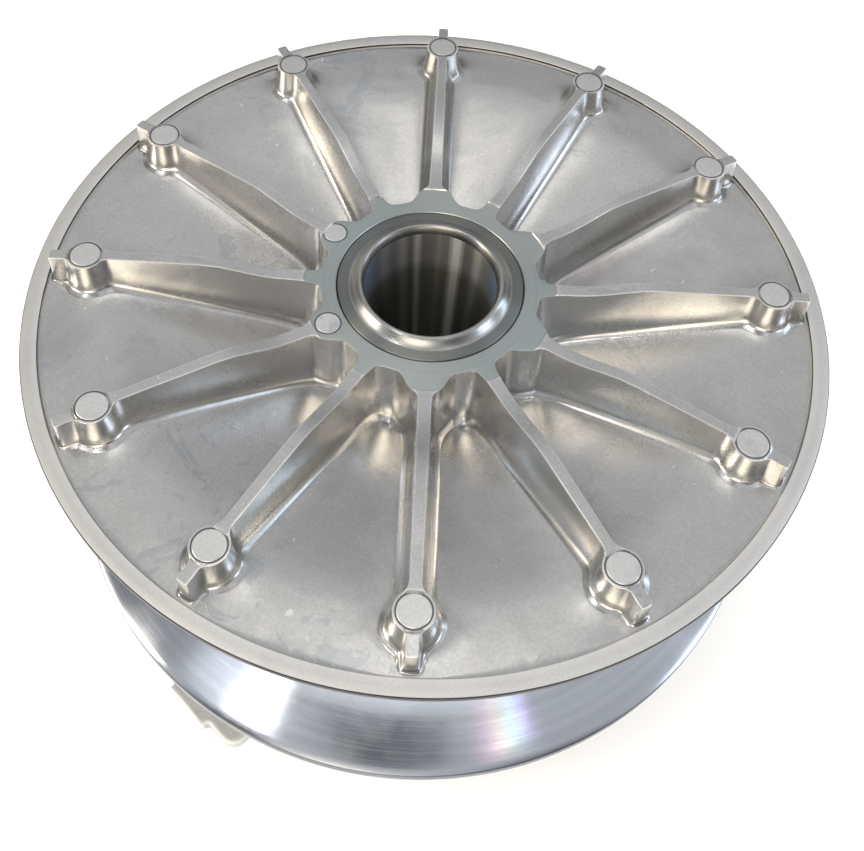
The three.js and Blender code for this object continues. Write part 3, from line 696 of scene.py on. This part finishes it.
def cast(name, bag, voxel, passes, body, material, nodes):
    """Fuses the shells in bag into one casting with filleted joints and rounded edges."""
    v = np.array(bag.v, float) * MM
    v[:, 2] += RIM
    me = bpy.data.meshes.new(name + "_shells")
    me.from_pydata(v.tolist(), [], bag.f)
    tidy(me, 30)
    o = bpy.data.objects.new(name + "_shells", me)
    bpy.context.scene.collection.objects.link(o)
    mod = o.modifiers.new("fuse", "REMESH")
    mod.mode = "VOXEL"
    mod.voxel_size = voxel * MM
    sm = o.modifiers.new("soften", "SMOOTH")
    sm.factor = 0.5
    sm.iterations = passes
    thin = o.modifiers.new("thin", "DECIMATE")
    thin.ratio = 0.45
    deps = bpy.context.evaluated_depsgraph_get()
    fused = bpy.data.meshes.new_from_object(o.evaluated_get(deps))
    bpy.data.objects.remove(o)
    fused.name = name
    fused.materials.clear()
    fused.materials.append(material)
    bm = bmesh.new()
    bm.from_mesh(fused)
    bmesh.ops.recalc_face_normals(bm, faces=bm.faces)
    bm.to_mesh(fused)
    bm.free()
    fused.polygons.foreach_set("use_smooth", [True] * len(fused.polygons))
    fused.update()
    p = bpy.data.objects.new(name, fused)
    bpy.context.scene.collection.objects.link(p)
    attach(p, body)
    if nodes:
        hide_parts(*nodes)
    return p


face = lambda r: -78.1 + 0.244 * (112.7 - r)
bag = Bag()
prof = [(29.8, -59.0), (29.95, -58.55), (30.4, -58.25), (31.0, -58.2)] + [(r, face(r)) for r in (31.6, 45, 60, 75, 90, 100, 108, 112.4)] + \
       [(112.7, -78.13), (114.7, -78.62), (114.93, -78.78), (115.0, -79.05), (115.0, -82.05), (115.0, -82.75), (114.8, -83.05), (114.3, -83.38), (112.6, -83.4),
        (111.0, -82.4), (66.0, -71.4), (37.4, -65.6), (35.6, -66.0), (35.6, -94.2), (35.0, -94.9), (26.9, -94.9), (26.5, -95.3), (26.5, -105.0), (26.1, -105.4),
        (23.0, -105.4), (23.0, -93.5), (29.4, -93.5), (29.8, -93.1)]
# material 1 is the painted-shade edge of the disc
mat = [0] * 13 + [1, 1, 1, 2, 2, 2, 3, 3, 3, 3, 3, 3] + [1] * 40
revolve(bag, prof, 288, mat[:len(prof)])
make("movable_disc", bag.v, bag.f, "movable_assembly", [FACE, MOVABLE_EDGE_SHADE, FACE_EDGE, CAST_BACK], bag.m, angle=28)

bag = Bag()
revolve(bag, [(33.5, -60.8), (112.0, -79.6), (112.3, -82.6), (108.5, -83.3), (66.0, -72.9), (40.0, -68.3), (36.8, -69.6), (33.5, -72.0)], 160)
for a in LOBES:
    for d in (30, 45, 60, 75, 90):
        side_prism(bag, [(34.5, -64), (34.5, -91), (108.5, -85.4), (108.5, -81.0), (66, -70.5)], -2.0, 2.0, a + d)
    for side in (-1, 1):
        lo = -22.5 if side < 0 else 14.3
        side_prism(bag, [(73.4, -73), (73.4, -110), (76, COVER_Z + 0.2), (103, COVER_Z + 0.2), (106, -110), (108.5, -82.0), (100, -79)], lo, lo + 8.2, a)
        e0, e1 = (-12.6, -5.1) if side < 0 else (5.1, 12.6)
        arc = [tuple(q) for q in arc_pts(PIVOT_AT[0], PIVOT_AT[1], 7.0, 180, 360, 16)]
        side_prism(bag, [(58.5, -69.5), (58.9, PIVOT_AT[1] - 0.4)] + arc + [(73.1, -72.5)], e0, e1, a)
    side_prism(bag, [(99, COVER_Z + 0.2), (103, COVER_Z + 0.2), (106, -110), (108.5, -82.0), (100, -79), (100, -110)], -15.3, 15.3, a)
cast("movable_casting", bag, 1.0, 3, "movable_assembly", CAST_BACK, ("movable_sheave",))

# ----------------------------------------------------------------------- cover
bag = Bag()
revolve(bag, [(16.0, -161.5), (19.6, -161.5), (20.2, -162.5), (20.2, -174.0), (32.0, -174.0), (32.4, -172), (33.4, COVER_Z),
              (46, COVER_Z), (46, -145), (38.2, -146), (36.4, -170.5), (33.0, -180), (16.0, -180)], 128)
for a in LOBES:
    w = 22.5
    corner = lambda y, a0, a1: [tuple(q) for q in arc_pts(106, y, 5, a0, a1, 8)]
    flat_prism(bag, [(40, -w)] + corner(-w + 5, -90, 0) + corner(w - 5, 0, 90) + [(40, w), (34.6, 18), (34.6, -18)], -145, COVER_Z, a)
    flat_prism(bag, [(110.4, -9.2), (113.6, -9.2), (113.6, 9.2), (110.4, 9.2)], -145, COVER_Z, a)
    for t in (-9.4, 9.4):
        side_prism(bag, [(34.8, -144.5), (104, -144.5), (104, -148), (70, -152), (37, -160), (34.8, -160)], t - 1.8, t + 1.8, a)
cast("cover_casting", bag, 0.8, 3, "movable_assembly", CAST_COVER, ("cover",))

# ---------------------------------------------------------------------- spider
bag = Bag()
revolve(bag, [(18.35, -108.1), (27.5, -108.1), (27.5, -96.6), (37.2, -96.6), (37.2, -102.0), (31.5, -102.5), (31.5, -115.0), (18.35, -115.0)], 96)
eye = [tuple(q) for q in arc_pts(ROLLER_AT[0], ROLLER_AT[1], 7.8, 100, -80, 18)]
for a in LOBES:
    for side in (-1, 1):
        t0, t1 = (-12.2, -7.2) if side < 0 else (7.2, 12.2)
        side_prism(bag, [(34, -96.8), (37.6, -96.8), (41, -91.8), (71, -91.8), (74.5, -87.6)] + eye + [(78, -101.9), (34, -101.9)], t0, t1, a)
    side_prism(bag, [(34, -96.8), (37.6, -96.8), (40, -93.4), (43.5, -93.4), (43.5, -101.9), (34, -101.9)], -8, 8, a)
cast("spider_casting_piece", bag, 0.6, 3, "fixed_assembly", CAST_SPIDER, ("spider",))

# --------------------------------------- rollers, buttons, flyweights and pins
TRAVEL, SWING = 33.0, 24.0


def cam_outline():
    k = math.radians(SWING) / TRAVEL
    d = (ROLLER_AT[0] - PIVOT_AT[0], ROLLER_AT[1] - PIVOT_AT[1])

    def path(s):
        q, z = k * s, d[1] - s
        return np.array([d[0] * math.cos(q) + z * math.sin(q), -d[0] * math.sin(q) + z * math.cos(q)])

    def off(s, e):
        t = path(s + 0.01) - path(s - 0.01)
        t /= np.linalg.norm(t)
        p = path(s)
        return (p[0] + e * t[1] + PIVOT_AT[0], p[1] - e * t[0] + PIVOT_AT[1])

    n = 30
    cam = [off(TRAVEL * j / n + (3.5 * max(0.0, j / n - 0.9) * 10), 9.4) for j in range(n + 1)]
    rear = [off(TRAVEL * j / n + (2.5 * max(0.0, j / n - 0.9) * 10), 17.5 + 2.5 * j / n) for j in range(n, 3, -1)]
    return [(PIVOT_AT[0] + 6.2, PIVOT_AT[1] - 2.6)] + cam + rear + [(PIVOT_AT[0] - 7.2, PIVOT_AT[1] - 2.0)]


for n, a in enumerate(LOBES, 1):
    bag = Bag()
    cross_turned(bag, rounded([(3.9, -6.1), (9.0, -6.1), (9.0, 6.1), (3.9, 6.1)], 0.6), ROLLER_AT, a, 72)
    make(f"roller_{n}_fine", bag.v, bag.f, f"roller_{n}", [GROUND], bag.m, (f"roller_{n}",), 35)
    bag = Bag()
    cross_turned(bag, [(0, -12.0), (2.9, -12.0), (3.4, -11.5), (3.4, 11.5), (2.9, 12.0), (0, 12.0)], ROLLER_AT, a, 32)
    make(f"roller_pin_{n}_fine", bag.v, bag.f, "fixed_assembly", [GROUND], bag.m, (f"roller_pin_{n}",), 35)
    for half, t in (("a", -1), ("b", 1)):
        bag = Bag()
        cross_turned(bag, [(0, 12.4 * t), (6.6, 12.4 * t), (6.6, 13.4 * t), (6.3, 13.8 * t), (5.6, 14.0 * t), (1.4, 14.0 * t), (1.2, 13.6 * t), (0, 13.6 * t)], ROLLER_AT, a, 48)
        make(f"slider_button_{n}{half}_fine", bag.v, bag.f, "fixed_assembly", [LINER], bag.m, (f"slider_button_{n}{half}",), 35)
    bag = Bag()
    side_prism(bag, cam_outline(), -4.4, 4.4, a)
    cross_turned(bag, [(0, -4.4), (7.4, -4.4), (7.4, 4.4), (0, 4.4)], PIVOT_AT, a, 48)
    cast(f"flyweight_{n}_fine", bag, 0.45, 2, f"flyweight_{n}", BLACK, (f"flyweight_{n}",))
    bag = Bag()
    cross_turned(bag, [(0, -17.0), (2.5, -17.0), (2.95, -16.5), (2.95, 12.95), (5.2, 12.95), (5.2, 15.6), (4.7, 16.2), (2.6, 16.2), (2.5, 14.2), (0, 14.2)], PIVOT_AT, a, 40)
    make(f"flyweight_pin_{n}_fine", bag.v, bag.f, "movable_assembly", [ZINC], bag.m, (f"flyweight_pin_{n}",), 35)

# ------------------------------------------------ idler bearing and small rings
rings = (
    ("idler_sleeve_fine", rounded([(24.35, -55.4), (28.5, -55.4), (28.5, -26.5), (24.35, -26.5)], 0.5), "idler", [STEEL], "idler_sleeve", "ground_steel"),
    ("upper_washer_fine", rounded([(21.8, -26.2), (28.2, -26.2), (28.2, -24.6), (21.8, -24.6)], 0.25), "fixed_assembly", [ZINC], "upper_thrust_washer", "zinc_steel"),
    ("lower_washer_fine", rounded([(21.8, -57.2), (28.2, -57.2), (28.2, -55.7), (21.8, -55.7)], 0.25), "fixed_assembly", [ZINC], "lower_thrust_washer", "zinc_steel"),
    ("sheave_bushing_fine", rounded([(20.3, -105.2), (22.7, -105.2), (22.7, -95.0), (20.3, -95.0)], 0.3), "movable_assembly", [BRONZE], "sheave_bushing", "bronze"),
    ("spider_shim_fine", rounded([(18.3, -107.8), (24.5, -107.8), (24.5, -106.8), (18.3, -106.8)], 0.2), "fixed_assembly", [ZINC], "spider_shim", "zinc_steel"),
    ("cover_bushing_fine", rounded([(13.3, -178.5), (15.7, -178.5), (15.7, -162.3), (13.3, -162.3)], 0.3), "movable_assembly", [BRONZE], "cover_bushing", "bronze"),
)
for name, prof, body, mats, node, slot in rings:
    bag = Bag()
    revolve(bag, prof, 144)
    make(name, bag.v, bag.f, body, mats, bag.m, (node,), 35)

# ---------------------------------------------------------------------- spring
bag = Bag()
turns, per, ring = 4.0, 72, 20
z0, z1 = -115.3 - 2.5, -173.7 + 2.5
rows = []
for i in range(int(turns * per) + 1):
    u, e = i / (turns * per), 0.09
    f = u * u / (2 * e) if u < e else ((1 - e) - (1 - u) ** 2 / (2 * e) if u > 1 - e else u - e / 2)
    rows.append((2 * math.pi * turns * u, z0 + (z1 - z0) * f / (1 - e)))
p = np.zeros((len(rows), ring, 3))
w = np.arange(ring) * 2 * math.pi / ring
for i, (a, z) in enumerate(rows):
    r = 27.3 + 2.5 * np.cos(w)
    p[i] = np.column_stack([r * math.cos(a), r * math.sin(a), z + 2.5 * np.sin(w)])
bag.grid(p, close_v=True)
for i in (0, len(rows) - 1):
    base = i * ring
    bag.f.append(tuple(range(base, base + ring)) if i == 0 else tuple(range(base, base + ring))[::-1])
    bag.m.append(0)
spring = make("return_spring_fine", bag.v, bag.f, "fixed_assembly", [SPRING], bag.m, ("return_spring",), 50)
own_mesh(spring)

# ------------------------------------------------- CAD pieces that stay in view
kept = {"idler_needle_cage": BRONZE, "bearing_circlip": BLACK, "spider_nut": BLACK}
for n in (1, 2, 3):
    kept[f"flyweight_nut_{n}"] = ZINC
    for half in "ab":
        kept[f"cover_screw_{n}{half}"] = ZINC
for o in list(bpy.context.scene.objects):
    if o.type == "MESH" and o.name in kept:
        o.data.materials.clear()
        o.data.materials.append(kept[o.name])
        b = o.modifiers.new("edges", "BEVEL")
        b.width = 0.00035
        b.segments = 2
        b.limit_method = "ANGLE"
        b.angle_limit = math.radians(42)
        b.harden_normals = False

# ------------------------------------------------------------ camera and stage
phi = math.radians(1.18868)
elev, roll = 0.949317663, 0.0741708065
f_px, pp_x, pp_y = 1038.31069, 432.08, 322.13
back = Vector((0, -math.cos(elev), math.sin(elev)))
centre = (Vector((0.0107545950, -0.0876452295, 0)) + back * 2.57303930) * 0.115
up = Vector((1, 0, 0)).cross(-back)
right = Vector((1, 0, 0)) * math.cos(roll) + up * math.sin(roll)
top = -Vector((1, 0, 0)) * math.sin(roll) + up * math.cos(roll)
rot = Matrix((right, top, back)).transposed().to_4x4()
cam_data = bpy.data.cameras.new("camera")
cam = bpy.data.objects.new("camera", cam_data)
bpy.context.scene.collection.objects.link(cam)
cam.matrix_world = Matrix.Translation((0, 0, RIM)) @ Matrix.Rotation(-phi, 4, "Z") @ Matrix.Translation(centre) @ rot
cam_data.sensor_width = 36.0
cam_data.lens = f_px / 864 * 36.0
cam_data.shift_x = -(pp_x - 432.0) / 864
cam_data.shift_y = (pp_y - 425.5) / 864
cam_data.clip_start, cam_data.clip_end = 0.01, 20.0
bpy.context.scene.camera = cam

floor_mat = bpy.data.materials.new("floor")
floor_mat.use_nodes = True
fb = floor_mat.node_tree.nodes["Principled BSDF"]
fb.inputs["Base Color"].default_value = (0.93, 0.925, 0.92, 1)
fb.inputs["Roughness"].default_value = 0.75
ft = floor_mat.node_tree
fn = ft.nodes
grain = fn.new("ShaderNodeTexNoise")
grain.inputs["Scale"].default_value = 40.0
shade = fn.new("ShaderNodeMapRange")
shade.inputs[3].default_value = 0.70
shade.inputs[4].default_value = 0.80
ft.links.new(grain.outputs["Fac"], shade.inputs[0])
ft.links.new(shade.outputs[0], fb.inputs["Roughness"])
clear = fn.new("ShaderNodeBsdfTransparent")
pick = fn.new("ShaderNodeMixShader")
ft.links.new(fn.new("ShaderNodeNewGeometry").outputs["Backfacing"], pick.inputs[0])
ft.links.new(fb.outputs[0], pick.inputs[1])
ft.links.new(clear.outputs[0], pick.inputs[2])
ft.links.new(pick.outputs[0], fn["Material Output"].inputs["Surface"])
fme = bpy.data.meshes.new("floor")
s = 4.0
fme.from_pydata([(-s, -s, FLOOR_Z - 0.0002), (s, -s, FLOOR_Z - 0.0002), (s, s, FLOOR_Z - 0.0002), (-s, s, FLOOR_Z - 0.0002)], [], [(0, 1, 2, 3)])
fme.materials.append(floor_mat)
floor = bpy.data.objects.new("floor", fme)
bpy.context.scene.collection.objects.link(floor)


def area(name, loc, target, size, power, colour):
    d = bpy.data.lights.new(name, "AREA")
    d.shape = "RECTANGLE"
    d.size, d.size_y = size
    d.energy = power
    d.color = colour
    o = bpy.data.objects.new(name, d)
    bpy.context.scene.collection.objects.link(o)
    o.location = loc
    o.rotation_euler = (Vector(target) - Vector(loc)).to_track_quat("-Z", "Y").to_euler()
    return o


T = (0, 0, 0.12)
area("key_left", (-1.2, -0.35, 0.75), T, (0.2, 1.0), 3.2, (1.0, 0.92, 0.80))
area("right_cool", (1.3, 0.45, 0.75), T, (0.2, 1.0), 1.8, (0.68, 0.85, 1.0))

# the room: bright ceiling lights, mid walls and a darker side towards the front
world = bpy.data.worlds.new("world")
bpy.context.scene.world = world
world.use_nodes = True
wt = world.node_tree
bg = wt.nodes["Background"]
wco = wt.nodes.new("ShaderNodeTexCoord").outputs["Generated"]
wnorm = wt.nodes.new("ShaderNodeVectorMath")
wnorm.operation = "NORMALIZE"
wt.links.new(wco, wnorm.inputs[0])


def wmix(mode, fac, a, b):
    n = wt.nodes.new("ShaderNodeMix")
    n.data_type = "RGBA"
    n.blend_type = mode
    n.clamp_result = False
    wt.links.new(fac, n.inputs[0])
    if isinstance(a, tuple):
        n.inputs[6].default_value = (*a, 1)
    else:
        wt.links.new(a, n.inputs[6])
    n.inputs[7].default_value = (*b, 1)
    return n.outputs[2]


def lobe(az, el, inner, outer):
    """1 within inner degrees of a direction, falling to 0 at outer degrees."""
    a, e = math.radians(az), math.radians(el)
    n = wt.nodes.new("ShaderNodeVectorMath")
    n.operation = "DOT_PRODUCT"
    wt.links.new(wnorm.outputs[0], n.inputs[0])
    n.inputs[1].default_value = (math.cos(e) * math.cos(a), math.cos(e) * math.sin(a), math.sin(e))
    r = wt.nodes.new("ShaderNodeMapRange")
    r.interpolation_type = "SMOOTHSTEP"
    r.inputs[1].default_value = math.cos(math.radians(outer))
    r.inputs[2].default_value = math.cos(math.radians(inner))
    wt.links.new(n.outputs["Value"], r.inputs[0])
    return r.outputs[0]


env = wmix("MIX", lobe(0, 90, 20, 95), (0.42, 0.39, 0.335), (0.52, 0.525, 0.54))
for mode, az, el, inner, outer, col in (
        ("MIX", 90, 5, 10, 42, (0.09, 0.09, 0.095)),       # far wall
        ("MIX", 95, 50, 6, 24, (0.56, 0.57, 0.59)),      # ceiling behind
        ("MIX", 84, 41, 3, 12, (0.38, 0.385, 0.395)),
        ("ADD", 90, 79, 4, 13.5, (0.86, 0.83, 0.76)),         # ceiling panels
        ("ADD", 211, 67, 2.2, 3.5, (13.0, 12.7, 11.9)),       # bright lamp, front left
        ("ADD", 138, 61, 2, 7.5, (0.40, 0.38, 0.32)),
        ("ADD", 201, 66, 2, 8, (0.7, 0.74, 0.8)),
        ("ADD", 309.5, 71, 0.9, 2.3, (2.3, 1.1, 1.7)), ("ADD", 314.5, 71, 0.8, 1.9, (2.0, 1.8, 0.7)), ("ADD", 319, 71, 0.8, 1.9, (0.7, 1.9, 1.5)), ("ADD", 323.5, 71, 0.8, 2.0, (1.4, 1.0, 2.2)),
        ("ADD", 188, 26, 5, 16, (4.4, 3.85, 3.0)),         # warm window, left
        ("ADD", 350, 32, 4, 13, (3.2, 3.7, 4.5)),          # cool window, right
        ("ADD", 256, 34, 7, 22, (3.4, 3.02, 2.35)),          # warm window behind the viewer
        ("ADD", 284, 8, 4, 15, (1.1, 0.95, 0.7)),
        ("MIX", 262, 76, 4.5, 10.5, (0.05, 0.055, 0.065)), # someone standing over it
        ("MIX", 222, 46, 3, 11, (0.06, 0.055, 0.05)),
        ("MIX", 170, 52, 5, 16, (0.20, 0.21, 0.235)),
        ("MIX", 308, 38, 5, 22, (0.06, 0.055, 0.05)),
        ("MIX", 150, 30, 4, 18, (0.08, 0.075, 0.07)),
        ("MIX", 35, 22, 4, 18, (0.08, 0.085, 0.09))):
    env = wmix(mode, lobe(az, el, inner, outer), env, col)
seen = wt.nodes.new("ShaderNodeLightPath").outputs["Is Camera Ray"]
env = wmix("MIX", seen, env, (0.98, 0.98, 0.985))          # a pale backdrop behind the object
wt.links.new(env, bg.inputs[0])
bg.inputs[1].default_value = 1.0
sun = bpy.data.lights.new("soft_sun", "SUN")
sun.energy = 2.4
sun.angle = math.radians(70)
so = bpy.data.objects.new("soft_sun", sun)
so.rotation_euler = (math.radians(10), math.radians(-14), 0)
so.visible_glossy = False      # lights the floor; the room is what the metal mirrors
bpy.context.scene.collection.objects.link(so)
bpy.context.scene.view_settings.view_transform = "Standard"
